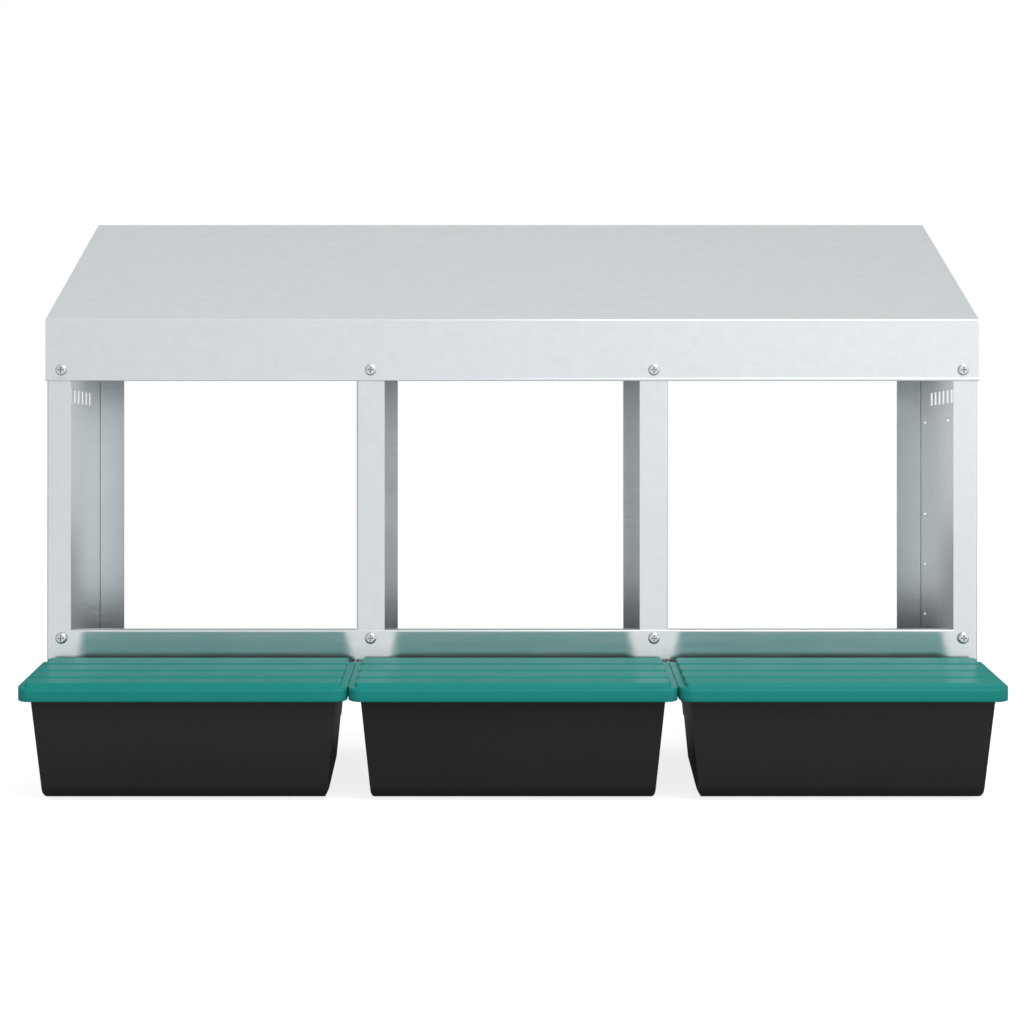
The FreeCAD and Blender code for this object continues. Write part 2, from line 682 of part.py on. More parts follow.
def nest_tray(name, centre):
    """The pan with its sloping floor and the egg trough in front of it, one moulding."""
    wall = "Sizes.moulding"
    draft = "tan(Sizes.trough_draft)"
    front = behind("-Sizes.trough_reach")
    rear = TROUGH_REAR
    neck = f"({HINGE_Y} + {EAR})"
    half = TROUGH_HALF
    top_drop = "Sizes.lid_step + Sizes.lid_wall + Sizes.lid_seat"
    front_top = lid_line(front, top_drop)
    neck_top = lid_line(neck, top_drop)
    neck_low = f"({pan_floor(rear)} - 3 * {wall})"
    low = "Sizes.trough_low"
    rear_low = "(Sizes.trough_low + Sizes.trough_lift)"
    front_foot = f"({front} + ({front_top} - {low}) * {draft})"

    side_outline = [
        (front, front_top),
        (front_foot, low, "Sizes.trough_round"),
        (rear, rear_low),
        (rear, neck_low),
        (neck, neck_low),
        (neck, neck_top, "(2 * Sizes.pin_radius)"),
    ]
    width_outline = [
        (f"-{half}", neck_top),
        (f"(-{half} + ({neck_top} - {low}) * {draft})", low, "Sizes.trough_round"),
        (f"({half} - ({neck_top} - {low}) * {draft})", low, "Sizes.trough_round"),
        (half, neck_top),
    ]
    outer = overlap(f"{name}_trough", [
        prism(f"{name}_trough_side", "YZ", [side_outline], f"-{half}", half),
        prism(f"{name}_trough_front", "XZ", [width_outline], front, neck),
    ])
    pan_half = PAN_HALF
    pan_back = behind("Sizes.nest_depth - Sizes.pan_rear_clear")
    pan_outline = [
        (rear, f"({pan_floor(rear)} - {wall})"),
        (pan_back, f"({pan_floor(pan_back)} - {wall})"),
        (pan_back, RIM_TOP),
        (neck, RIM_TOP),
        (neck, f"({pan_floor(neck)} + {wall})"),
        (rear, f"({pan_floor(rear)} + {wall})"),
    ]
    pan = prism(f"{name}_pan", "YZ", [pan_outline], f"-{pan_half}", pan_half)
    pan_rim_back = f"({pan_back} + Sizes.pan_rear_clear / 2)"
    pan_rim_outline = rectangle(FRONT, pan_rim_back, f"({RIM_TOP} - {wall})", RIM_TOP)
    pan_rim = prism(f"{name}_pan_rim", "YZ", [pan_rim_outline], f"-{RIM_HALF}", RIM_HALF)
    rim_front = f"({front} - Sizes.rim_out + 1)"
    rim_back = f"({HINGE_Y} - {EAR})"
    rim_outline = [
        (rim_front, lid_line(rim_front, f"{top_drop} + {wall}")),
        (rim_back, lid_line(rim_back, f"{top_drop} + {wall}")),
        (rim_back, lid_line(rim_back, top_drop)),
        (rim_front, lid_line(rim_front, top_drop)),
    ]
    rim_corner = "(Sizes.lid_corner - 2 * Sizes.lid_wall)"
    rim_plan = [
        (f"-{RIM_HALF}", rim_front, rim_corner),
        (RIM_HALF, rim_front, rim_corner),
        (RIM_HALF, rim_back),
        (f"-{RIM_HALF}", rim_back),
    ]
    trough_rim = overlap(f"{name}_trough_rim", [
        prism(f"{name}_rim_side", "YZ", [rim_outline], f"-{RIM_HALF}", RIM_HALF),
        prism(f"{name}_rim_plan", "XY", [rim_plan], "0", RIM_TOP),
    ])
    solid = fuse(f"{name}_solid", [outer, pan, pan_rim, trough_rim])

    def underside(y):
        """Height of the trough's sloping underside at a depth."""
        return f"({low} + ({y} - {front_foot}) * Sizes.trough_lift / ({rear} - {front_foot}))"

    # hollow of the trough: a floor along the underside, then a ramp up to the pan
    above = f"({RIM_TOP} + {wall})"
    front_in = f"({front} + {wall})"
    foot_in = f"({front_foot} + {wall})"
    valley = f"({front_foot} + Sizes.trough_valley)"
    crest = f"({rear} + {wall})"
    ramp_head = behind("0")
    hollow_side = [
        (front_in, front_top),
        (foot_in, f"({underside(foot_in)} + 1.2 * {wall})", f"(Sizes.trough_round - {wall})"),
        (valley, f"({underside(valley)} + 1.2 * {wall})", "Sizes.trough_valley_round"),
        (crest, pan_floor(crest), "Sizes.trough_crest"),
        (ramp_head, pan_floor(ramp_head)),
        (ramp_head, above),
        (front_in, above),
    ]
    half_in = f"({half} - {wall})"
    foot_half_in = f"({half_in} - ({neck_top} - {low} - {wall}) * {draft})"
    hollow_width = [
        (f"-{half_in}", neck_top),
        (f"-{foot_half_in}", f"({low} + {wall})", f"(Sizes.trough_round - {wall})"),
        (foot_half_in, f"({low} + {wall})", f"(Sizes.trough_round - {wall})"),
        (half_in, neck_top),
        (half_in, above),
        (f"-{half_in}", above),
    ]
    trough_hollow = overlap(f"{name}_trough_hollow", [
        prism(f"{name}_hollow_side", "YZ", [hollow_side], f"-{half_in}", half_in),
        prism(f"{name}_hollow_front", "XZ", [hollow_width], front, f"({neck} - {wall})"),
    ])
    # the space under the ramp is open to the back
    under_front = f"({valley} + 2 * {wall})"
    under_back = f"({rear} + {wall})"
    under_outline = [
        (under_front, f"({underside(under_front)} + 1.2 * {wall})"),
        (under_back, f"({underside(under_back)} + 1.2 * {wall})"),
        (under_back, neck_low),
        (rear, neck_low),
    ]
    under_ramp = overlap(f"{name}_under_ramp", [
        prism(f"{name}_under_side", "YZ", [under_outline], f"-{half_in}", half_in),
        prism(f"{name}_under_front", "XZ", [hollow_width], front, f"({neck} - {wall})"),
    ])
    pan_in = f"({pan_back} - {wall})"
    pan_hollow_outline = [
        (f"({neck} - {wall} - 1)", pan_floor(f"({neck} - {wall} - 1)")),
        (pan_in, pan_floor(pan_in)),
        (pan_in, above),
        (f"({neck} - {wall} - 1)", above),
    ]
    pan_half_in = f"({pan_half} - {wall})"
    pan_hollow = prism(f"{name}_pan_hollow", "YZ", [pan_hollow_outline], f"-{pan_half_in}", pan_half_in)
    # the lid's tail swings down here when the lid is opened
    relief_outline = rectangle(neck, behind("1"), "(Sizes.band_low - Sizes.relief_down)", above)
    relief = prism(f"{name}_hinge_relief", "YZ", [relief_outline], f"-{RIM_HALF} - 1", f"{RIM_HALF} + 1")
    pin = (HINGE_Y, HINGE_Z, "Sizes.pin_radius")
    pin_hole = prism(f"{name}_pin_holes", "YZ", [pin], f"-{RIM_HALF}", RIM_HALF)
    hollow = fuse(f"{name}_hollow", [trough_hollow, under_ramp, pan_hollow, relief, pin_hole])
    tray = doc.addObject("Part::Cut", name)
    tray.Base = solid
    tray.Tool = hollow
    tray.Label = name
    tray.setExpression("Placement.Base.x", centre)
    return tray


def tray_runner(name, face_x, inward, reach):
    """Angle strip riveted to a web; the tray's rim slides on its ledge."""
    body = new_body(name)
    inner = f"({face_x} + {inward} * Sizes.runner_sheet)"
    edge = f"({face_x} + {inward} * ({reach}))"
    low = f"({RUNNER_TOP} - Sizes.runner_sheet - Sizes.runner_leg)"
    under = f"({RUNNER_TOP} - Sizes.runner_sheet)"
    profile = [
        (face_x, low),
        (inner, low),
        (inner, under, "Sizes.bend_inside"),
        (edge, under),
        (edge, RUNNER_TOP),
        (face_x, RUNNER_TOP, "(Sizes.bend_inside + Sizes.runner_sheet)"),
    ]
    start, end = behind("3 * Sizes.sheet"), behind("Sizes.nest_depth - 3 * Sizes.sheet")
    pad(body, f"{name}_angle", "XZ", [profile], start, end)
    holes = [(*spot, RIVET_HOLE) for spot in runner_rivet_spots()]
    cut(body, f"{name}_holes", "YZ", holes, *ordered(face_x, inner))
    return body


def nest_mat(name, centre):
    body = new_body(name)
    start = behind("Sizes.mat_clear")
    end = behind("Sizes.nest_depth - Sizes.pan_rear_clear - Sizes.moulding - Sizes.mat_clear")
    outline = [
        (start, f"({pan_floor(start)} + Sizes.lay_gap)"),
        (end, f"({pan_floor(end)} + Sizes.lay_gap)"),
        (end, f"({pan_floor(end)} + Sizes.lay_gap + Sizes.mat_thick)"),
        (start, f"({pan_floor(start)} + Sizes.lay_gap + Sizes.mat_thick)"),
    ]
    half = f"({PAN_HALF} - Sizes.moulding - Sizes.mat_clear)"
    pad(body, f"{name}_sheet", "YZ", [outline], f"-{half}", half)
    body.setExpression("Placement.Base.x", centre)
    return body


def lid_grooves(drop, spare):
    """Corners of the grooves across the lid's panel, from the back one to the front one."""
    corners = []
    for number in range(GROOVE_COUNT):
        middle = behind(f"-Sizes.groove_first - {number} * Sizes.groove_pitch")
        steps = ((0.5, "0"), (0.2, "Sizes.groove_deep"), (-0.2, "Sizes.groove_deep"), (-0.5, "0"))
        for share, depth in steps:
            away = f"({share} * Sizes.groove_width + {math.copysign(1, share)} * {spare})"
            y = f"({middle} + {away})"
            corners.append((y, lid_line(y, f"{drop} + {depth}")))
    return corners


def lid_layer(name, outline, half, front, corner):
    """A side profile carried across the lid, with its two front corners rounded."""
    plan = [(f"-{half}", front, corner), (half, front, corner), (half, FRONT), (f"-{half}", FRONT)]
    low = f"({HINGE_Z} - Sizes.lid_skirt - {LID_REACH} * tan(Sizes.lid_slope))"
    high = f"({LID_TOP} + Sizes.lid_step)"
    return overlap(name, [
        prism(f"{name}_side", "YZ", [outline], f"-{half}", half),
        prism(f"{name}_plan", "XY", [plan], low, high),
    ])


def egg_lid(name, centre):
    """Ribbed lid over the trough: raised panel, flat edge, turned-down skirt."""
    wall = "Sizes.lid_wall"
    back = behind("-Sizes.lid_rear_gap")
    open_back = f"({back} + 1)"
    front = behind(f"-{LID_REACH}")
    edge_drop = "Sizes.lid_step"
    skirt_drop = "Sizes.lid_step + Sizes.lid_skirt"
    panel_front = f"({front} + Sizes.lid_edge)"
    panel_half = f"({LID_HALF} - Sizes.lid_edge)"
    panel_corner = "(Sizes.lid_corner - Sizes.lid_edge)"

    def band(near, far, high_drop, low_drop):
        return [
            (far, lid_line(far, low_drop)),
            (far, lid_line(far, high_drop)),
            (near, lid_line(near, high_drop)),
            (near, lid_line(near, low_drop)),
        ]

    panel_outline = [
        (back, lid_line(back, f"{edge_drop} + 1")),
        (back, lid_line(back, "0")),
        *lid_grooves("0", "0"),
        (panel_front, lid_line(panel_front, "0")),
        (panel_front, lid_line(panel_front, f"{edge_drop} + 1")),
    ]
    edge_outline = band(front, back, edge_drop, skirt_drop)
    outside = fuse(f"{name}_outside", [
        lid_layer(f"{name}_edge", edge_outline, LID_HALF, front, "Sizes.lid_corner"),
        lid_layer(f"{name}_panel", panel_outline, panel_half, panel_front, panel_corner),
    ])
    front_in, panel_in = f"({front} + {wall})", f"({panel_front} + {wall})"
    edge_hollow = band(front_in, open_back, f"{edge_drop} + {wall}", f"{skirt_drop} + 1")
    panel_hollow = [
        (open_back, lid_line(open_back, f"{skirt_drop} + 1")),
        (open_back, lid_line(open_back, wall)),
        *lid_grooves(wall, f"{wall} / 2"),
        (panel_in, lid_line(panel_in, wall)),
        (panel_in, lid_line(panel_in, f"{skirt_drop} + 1")),
    ]
    half_in, panel_half_in = f"({LID_HALF} - {wall})", f"({panel_half} - {wall})"
    corner_in, panel_corner_in = f"(Sizes.lid_corner - {wall})", f"({panel_corner} - {wall})"
    pin_hole = (HINGE_Y, HINGE_Z, "(Sizes.pin_radius + Sizes.pin_play)")
    inside = fuse(f"{name}_inside", [
        lid_layer(f"{name}_edge_hollow", edge_hollow, half_in, front_in, corner_in),
        lid_layer(f"{name}_panel_hollow", panel_hollow, panel_half_in, panel_in, panel_corner_in),
        prism(f"{name}_pin_holes", "YZ", [pin_hole], f"(-{LID_HALF} - 1)", f"({LID_HALF} + 1)"),
    ])
    lid = doc.addObject("Part::Cut", name)
    lid.Base = outside
    lid.Tool = inside
    lid.Label = name
    lid.setExpression("Placement.Base.x", centre)
    return lid


def hinge_pins(name, centre):
    """The two stub pins that a lid turns on, pressed into the tray's side walls."""
    body = new_body(name)
    root = f"({TROUGH_HALF} - Sizes.moulding - Sizes.tray_clear)"
    tip = f"({LID_HALF} - Sizes.fit_gap)"
    circle = (HINGE_Y, HINGE_Z, "Sizes.pin_radius")
    for label, side in SIDES.items():
        pad(body, f"{name}_{label}", "YZ", [circle], *spread(side, root, tip))
    body.setExpression("Placement.Base.x", centre)
    return body


# ---------------------------------------------------------------- assembly

pieces = [roof_panel("roof_panel")]
for label, side in SIDES.items():
    pieces.append(side_panel(f"side_panel_{label}", side))
    pieces.append(partition(f"partition_{label}", side))
pieces.append(front_band("front_band"))
low_rail = f"({LEDGE_TOP} - Sizes.rear_rail_tall)"
pieces.append(rear_rail("rear_rail_bottom", low_rail, f"({LEDGE_TOP} - Sizes.sheet)", upper=False))
pieces.append(rear_rail("rear_rail_top", RAIL_HIGH, RAIL_HIGH, upper=True))

fascia_face = behind("-Sizes.fit_gap - Sizes.sheet")
flange_inside = behind("Sizes.sheet")
fascia_spots = [(x, FASCIA_SCREWS) for x in SCREW_XS]
band_spots = [(x, BAND_SCREWS) for x in SCREW_XS]
pieces.append(screws("fascia_screws", "XZ", fascia_spots, fascia_face, 1))
pieces.append(nuts("fascia_nuts", "XZ", fascia_spots, flange_inside, 1))
pieces.append(screws("band_screws", "XZ", band_spots, behind("-Sizes.sheet"), 1))
pieces.append(nuts("band_nuts", "XZ", band_spots, flange_inside, 1))
for label, side in SIDES.items():
    skirt_face = f"({side} * ({HALF} + Sizes.fit_gap + Sizes.sheet))"
    web_inside = f"({side} * ({HALF} - Sizes.sheet))"
    spots = skirt_screw_spots()
    pieces.append(screws(f"roof_screws_{label}", "YZ", spots, skirt_face, -side))
    pieces.append(nuts(f"roof_nuts_{label}", "YZ", spots, web_inside, -side))

back_inside = behind("Sizes.nest_depth - Sizes.sheet")
rail_outside = behind("Sizes.nest_depth + Sizes.sheet")
rail_spots = [(x, height) for height in rail_rivet_heights() for x in RAIL_RIVET_XS]
pieces.append(rivets("rail_rivets", "XZ", rail_spots, [(back_inside, rail_outside)]))
stacks = []
for side in SIDES.values():
    stacks.append(spread(side, f"{HALF} - Sizes.sheet - Sizes.runner_sheet", HALF))
    stacks.append(spread(side, f"{POST} - Sizes.sheet - Sizes.runner_sheet", f"{POST} + Sizes.runner_sheet"))
pieces.append(rivets("runner_rivets", "YZ", runner_rivet_spots(), stacks))

for bay in BAYS:
    number = bay + 2
    centre = f"({bay} * {PITCH})"
    # faces of the webs on the two sides of the bay
    left_web = (f"(-{HALF} + Sizes.sheet)", f"(-{POST} + Sizes.sheet)", POST)[bay + 1]
    right_web = (f"(-{POST})", f"({POST} - Sizes.sheet)", f"({HALF} - Sizes.sheet)")[bay + 1]
    tray_left = f"({centre} - {PAN_HALF} - Sizes.tray_clear)"
    tray_right = f"({centre} + {PAN_HALF} + Sizes.tray_clear)"
    pieces.append(tray_runner(f"tray_runner_{number}_left", left_web, 1, f"{tray_left} - {left_web}"))
    pieces.append(tray_runner(f"tray_runner_{number}_right", right_web, -1, f"{right_web} - {tray_right}"))
    pieces.append(nest_tray(f"nest_tray_{number}", centre))
    pieces.append(nest_mat(f"nest_mat_{number}", centre))
    pieces.append(egg_lid(f"egg_lid_{number}", centre))
    pieces.append(hinge_pins(f"lid_hinge_pins_{number}", centre))

doc.recompute()
for item in doc.Objects:
    if "Invalid" in item.State or "Error" in item.State:
        raise ValueError(f"{item.Name} did not build: {item.State}")
for piece in pieces:
    if piece.Shape.isNull() or not piece.Shape.isValid():
        raise ValueError(f"{piece.Label} has no valid shape")
os.makedirs("parts", exist_ok=True)
for piece in pieces:
    piece.Shape.exportStep(f"parts/{piece.Label}.step")
    box = piece.Shape.BoundBox
    print(f"{piece.Label:24} solids {len(piece.Shape.Solids):2}  "
          f"x {box.XMin:7.1f} {box.XMax:7.1f}  y {box.YMin:7.1f} {box.YMax:7.1f}  "
          f"z {box.ZMin:6.1f} {box.ZMax:6.1f}")
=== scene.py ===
import json
import math

import bmesh
import bpy
from mathutils import Matrix, Vector


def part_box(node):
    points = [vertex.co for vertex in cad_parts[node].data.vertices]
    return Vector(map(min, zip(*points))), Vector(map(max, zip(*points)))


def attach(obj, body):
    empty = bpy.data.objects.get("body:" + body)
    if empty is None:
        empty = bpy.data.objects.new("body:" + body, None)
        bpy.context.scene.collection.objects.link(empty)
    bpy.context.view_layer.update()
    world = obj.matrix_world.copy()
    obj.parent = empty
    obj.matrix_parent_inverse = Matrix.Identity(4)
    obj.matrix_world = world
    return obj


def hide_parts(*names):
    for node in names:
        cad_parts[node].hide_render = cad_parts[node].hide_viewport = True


# The looks of the three-bay roll-away nest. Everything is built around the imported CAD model: the lids,
# the trays and the front band are drawn again in more detail, and every other piece is the CAD node
# with its own material.

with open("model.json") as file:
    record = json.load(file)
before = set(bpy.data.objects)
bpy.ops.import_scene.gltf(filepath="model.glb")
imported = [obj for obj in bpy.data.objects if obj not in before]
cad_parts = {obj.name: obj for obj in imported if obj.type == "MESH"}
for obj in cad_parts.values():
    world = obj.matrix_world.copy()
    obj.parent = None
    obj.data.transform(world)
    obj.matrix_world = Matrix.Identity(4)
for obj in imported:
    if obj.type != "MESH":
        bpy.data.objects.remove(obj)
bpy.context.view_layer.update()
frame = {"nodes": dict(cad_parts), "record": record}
nodes = frame["nodes"]

BAYS = (1, 2, 3)
MM = 0.001


def box_mm(name):
    """Lowest and highest corner of a CAD node, in millimetres."""
    return [Vector(corner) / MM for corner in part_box(name)]


def steps(low, high, count):
    return [low + (high - low) * index / count for index in range(count + 1)]


def smooth(value):
    """Rises softly from 0 to 1."""
    value = min(1.0, max(0.0, value))
    return value * value * (3 - 2 * value)


# ---------------------------------------------------------------- shader helpers

def new_material(name):
    material = bpy.data.materials.new(name)
    material.use_nodes = True
    tree = material.node_tree
    shader = tree.nodes["Principled BSDF"]
    return material, tree, shader


def link(tree, source, target):
    tree.links.new(source, target)


def coordinates(tree, scale=(1, 1, 1)):
    """Object coordinates, stretched."""
    place = tree.nodes.new("ShaderNodeTexCoord")
    mapping = tree.nodes.new("ShaderNodeMapping")
    mapping.inputs["Scale"].default_value = scale
    link(tree, place.outputs["Object"], mapping.inputs["Vector"])
    return mapping.outputs["Vector"]


def noise(tree, vector, scale, detail):
    texture = tree.nodes.new("ShaderNodeTexNoise")
    texture.inputs["Scale"].default_value = scale
    texture.inputs["Detail"].default_value = detail
    link(tree, vector, texture.inputs["Vector"])
    return texture.outputs["Fac"]


def cells(tree, vector, scale, randomness):
    texture = tree.nodes.new("ShaderNodeTexVoronoi")
    texture.inputs["Scale"].default_value = scale
    texture.inputs["Randomness"].default_value = randomness
    link(tree, vector, texture.inputs["Vector"])
    return texture


def spread(tree, value, low, high, start=0.3, end=0.7):
    """A value between start and end turned into a number between low and high."""
    node = tree.nodes.new("ShaderNodeMapRange")
    node.inputs["From Min"].default_value = start
    node.inputs["From Max"].default_value = end
    node.inputs["To Min"].default_value = low
    node.inputs["To Max"].default_value = high
    link(tree, value, node.inputs["Value"])
    return node.outputs["Result"]


def blend_colours(tree, factor, first, second):
    """Goes from one colour to another; each is three numbers or the output of a node."""
    node = tree.nodes.new("ShaderNodeMix")
    node.data_type = "RGBA"
    link(tree, factor, node.inputs["Factor"])
    for side, colour in (("A", first), ("B", second)):
        if isinstance(colour, tuple):
            node.inputs[side].default_value = (*colour, 1)
        else:
            link(tree, colour, node.inputs[side])
    return node.outputs["Result"]


def bump(tree, shader, height, distance, strength):
    node = tree.nodes.new("ShaderNodeBump")
    node.inputs["Strength"].default_value = strength
    node.inputs["Distance"].default_value = distance
    link(tree, height, node.inputs["Height"])
    link(tree, node.outputs["Normal"], shader.inputs["Normal"])


def grey_ramp(tree, value, stops):
    """Shades of grey at places from 0 to 1."""
    node = tree.nodes.new("ShaderNodeValToRGB")
    elements = node.color_ramp.elements
    while len(elements) < len(stops):
        elements.new(0.5)
    for element, (position, shade) in zip(elements, stops):
        element.position = position
        element.color = (shade, shade, shade, 1)
    link(tree, value, node.inputs["Fac"])
    return node.outputs["Color"]


# ---------------------------------------------------------------- materials

def galvanised():
    """Zinc-coated sheet: faint crystals and rolling streaks in a satin metal."""
    material, tree, shader = new_material("galvanised_sheet")
    shader.inputs["Metallic"].default_value = 0.95
    crystals = cells(tree, coordinates(tree), 110, 1)
    grey = tree.nodes.new("ShaderNodeSeparateColor")
    link(tree, crystals.outputs["Color"], grey.inputs["Color"])
    colour = blend_colours(tree, grey.outputs["Red"], (0.735, 0.775, 0.795), (0.755, 0.795, 0.815))
    link(tree, colour, shader.inputs["Base Color"])
    streaks = noise(tree, coordinates(tree, (3, 40, 40)), 6, 4)
    link(tree, spread(tree, streaks, 0.21, 0.26), shader.inputs["Roughness"])
    grain = noise(tree, coordinates(tree, (6, 90, 90)), 14, 2)
    bump(tree, shader, grain, 0.00002, 0.12)
    return material


def zinc():
    """Plated screws, nuts, rivets and pins."""
    material, tree, shader = new_material("zinc_fasteners")
    shader.inputs["Metallic"].default_value = 1
    mottle = noise(tree, coordinates(tree), 900, 3)
    # painted shade: ambient occlusion darkens the plating colour in the cross recess and under the rim of
    # a head
    painted_recess_shade = tree.nodes.new("ShaderNodeAmbientOcclusion")
    painted_recess_shade.inputs["Distance"].default_value = 0.004
    plating = blend_colours(tree, mottle, (0.60, 0.61, 0.63), (0.74, 0.75, 0.77))
    link(tree, plating, painted_recess_shade.inputs["Color"])
    link(tree, painted_recess_shade.outputs["Color"], shader.inputs["Base Color"])
    link(tree, spread(tree, mottle, 0.16, 0.28), shader.inputs["Roughness"])
    bump(tree, shader, mottle, 0.00004, 0.4)
    return material


def moulded(name, dark, light, roughness, grain, specular):
    """Injection-moulded plastic: slow colour drift, a fine spark-eroded grain."""
    material, tree, shader = new_material(name)
    shader.inputs["Specular IOR Level"].default_value = specular
    place = coordinates(tree)
    drift = noise(tree, place, 9, 2)
    link(tree, blend_colours(tree, drift, dark, light), shader.inputs["Base Color"])
    cloud = noise(tree, place, 26, 3)
    link(tree, spread(tree, cloud, *roughness), shader.inputs["Roughness"])
    pits = noise(tree, place, 1600, 2)
    bump(tree, shader, pits, grain, 0.35)
    return material


def matting():
    """Soft nest mat: low round studs close together, with painted shade that darkens the dips between
    them.
    """
    material, tree, shader = new_material("green_mat")
    shader.inputs["Specular IOR Level"].default_value = 0.3
    place = coordinates(tree)
    studs = cells(tree, place, 150, 0.4)
    height = spread(tree, studs.outputs["Distance"], 1, 0, 0.15, 0.60)
    # painted shade: the colour goes darker where the surface between the studs dips down
    colour = blend_colours(tree, height, (0.014, 0.052, 0.030), (0.040, 0.120, 0.068))
    link(tree, colour, shader.inputs["Base Color"])
    wear = noise(tree, place, 40, 3)
    link(tree, spread(tree, wear, 0.62, 0.85), shader.inputs["Roughness"])
    bump(tree, shader, height, 0.0008, 0.7)
    return material


METAL = galvanised()
GREEN = moulded(
    "green_plastic", dark=(0.011, 0.224, 0.198), light=(0.013, 0.244, 0.215),
    roughness=(0.30, 0.37), grain=0.00001, specular=0.08)
BLACK = moulded(
    "black_plastic", dark=(0.0155, 0.0161, 0.0170), light=(0.0180, 0.0186, 0.0196),
    roughness=(0.34, 0.42), grain=0.00004, specular=0.25)

BY_SLOT = {
    "galvanised_sheet": METAL,
    "zinc_fasteners": zinc(),
    "green_plastic": GREEN,
    "black_plastic": BLACK,
    "green_mat": matting(),
}
for part in frame["record"]["subparts"]:
    data = nodes[part["node"]].data
    data.materials.clear()
    data.materials.append(BY_SLOT[part["material_slot"]])


# ---------------------------------------------------------------- mesh helpers

def add_object(name, bm):
    data = bpy.data.meshes.new(name)
    bm.to_mesh(data)
    bm.free()
    item = bpy.data.objects.new(name, data)
    bpy.context.scene.collection.objects.link(item)
    return item


def dress(piece, material, body, node):
    """Gives a piece its material and its body, and hides the CAD node that it stands for."""
    piece.data.materials.clear()
    piece.data.materials.append(material)
    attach(piece, body)
    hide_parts(node)


def thicken(bm, outwards, thickness):
    """Makes an open surface a closed sheet, with its first faces on the outside."""
    bmesh.ops.recalc_face_normals(bm, faces=bm.faces)
    surface = list(bm.faces)
    if sum(face.normal.dot(outwards) * face.calc_area() for face in surface) < 0:
        bmesh.ops.reverse_faces(bm, faces=surface)
    bmesh.ops.solidify(bm, geom=surface, thickness=thickness)
    bmesh.ops.recalc_face_normals(bm, faces=bm.faces)
    for face in bm.faces:
        face.smooth = True


def join_rows(bm, low_row, high_row):
    """Faces between two rows of the same number of corners."""
    for index in range(len(low_row) - 1):
        bm.faces.new((low_row[index], low_row[index + 1], high_row[index + 1], high_row[index]))


def rounded_drop(distance, radius):
    """How far a quarter round falls below its flat, at a distance inside its outline."""
    if distance >= radius:
        return 0.0
    return radius - math.sqrt(max(0.0, radius ** 2 - (radius - distance) ** 2))


def inside_rounded(x, y, half, near, far, radius):
    """How far a point lies inside a rectangle with rounded corners."""
    middle = (near + far) / 2
    reach = (far - near) / 2
    over_x = abs(x) - half + radius
    over_y = abs(y - middle) - reach + radius
    if over_x > 0 and over_y > 0:
        return radius - math.hypot(over_x, over_y)
    return radius - max(over_x, over_y)


# ---------------------------------------------------------------- lids

# sizes of the moulding, in millimetres
FRONT_Y = box_mm("front_band")[0].y + 1      # plane of the front flanges
LID_LOW, LID_HIGH = box_mm("egg_lid_2")      # the middle lid, whose middle is at X = 0
LID_HALF = (LID_HIGH.x - LID_LOW.x) / 2
LID_SLOPE = math.tan(math.radians(6.45))
LID_CORNER = 13.0          # front corners, seen from above
LID_WALL = 1.9
LID_STEP = 4.0             # height of the raised panel above the edge round it
LID_EDGE = 6.5             # width of that edge
LID_SKIRT = 12.5           # height of the skirt under that edge
SKIRT_TOP = 1.6            # the mesh rings of the skirt are shared out from this far down
SKIRT_RINGS = ((0.2, 0.0), (0.6, 0.0), (0.93, 0.0), (1.0, -0.35))    # share of the height, outwards
GROOVE_SPOTS = [FRONT_Y - 40.0 - 31.0 * number for number in range(3)]
GROOVE_WIDTH = 5.0
GROOVE_DEEP = 1.4
GROOVE_INSET = 0.8         # the grooves' floor ends so far inside the raised panel
LAND_CORNER = 4.0
FLANK = 1.7                # how far the side of a land takes to rise
BACK_ROUND = 1.5
BACK_ROUND_SHARE = 0.6     # flattens the rounding of the back edge
PIN_HOLE = 2.6             # radius
PIN_BAR = 8                # length of the bars that cut the pin holes

# mesh spacing, in millimetres
CORNER_ROWS = 26
FINE_ROW = 0.45
WIDE_ROW = 1.6
FINE_NEAR_GROOVE = 7
BACK_ROWS = (1.6, 1.2, 0.8, 0.5, 0.25, 0.1, 0.0)
EDGE_COLUMNS = [0, 0.2, 0.45, 0.75, 1.1, 1.5, 2.2, 3.2, 4.2, 5.0] + [5.0 + 0.4 * n for n in range(1, 16)]
MIDDLE_COLUMNS = 24
MIDDLE_INSET = 14
STRAIGHT_HALF = 100        # columns nearer to the middle than this run straight to the front
SAME_SPOT = 0.004


def lid_top(y):
    return LID_HIGH.z - (LID_HIGH.y - y) * LID_SLOPE


def land_limits():
    """Front and back limits of the four flat lands of the raised panel."""
    fronts = [LID_LOW.y + LID_EDGE]
    backs = []
    for spot in reversed(GROOVE_SPOTS):
        backs.append(spot - GROOVE_WIDTH / 2)
        fronts.append(spot + GROOVE_WIDTH / 2)
    backs.append(LID_HIGH.y)
    return list(zip(fronts, backs))


LANDS = land_limits()


def lid_height(x, y):
    """Height of the lid's upper face, relative to the top of its raised panel."""
    panel_half = LID_HALF - LID_EDGE
    panel_front = LANDS[0][0]
    panel_back = LANDS[-1][1]
    # the floor of the grooves, then the lands between them
    inside = inside_rounded(
        x, y, panel_half - GROOVE_INSET, panel_front + GROOVE_INSET, panel_back, LAND_CORNER)
    rise = (LID_STEP - GROOVE_DEEP) * smooth(inside / FLANK + 0.5)
    for near, far in LANDS:
        inside = inside_rounded(x, y, panel_half, near, far, LAND_CORNER)
        rise = max(rise, LID_STEP * smooth(inside / FLANK + 0.5))
    return rise - LID_STEP - BACK_ROUND_SHARE * rounded_drop(LID_HIGH.y - y, BACK_ROUND)


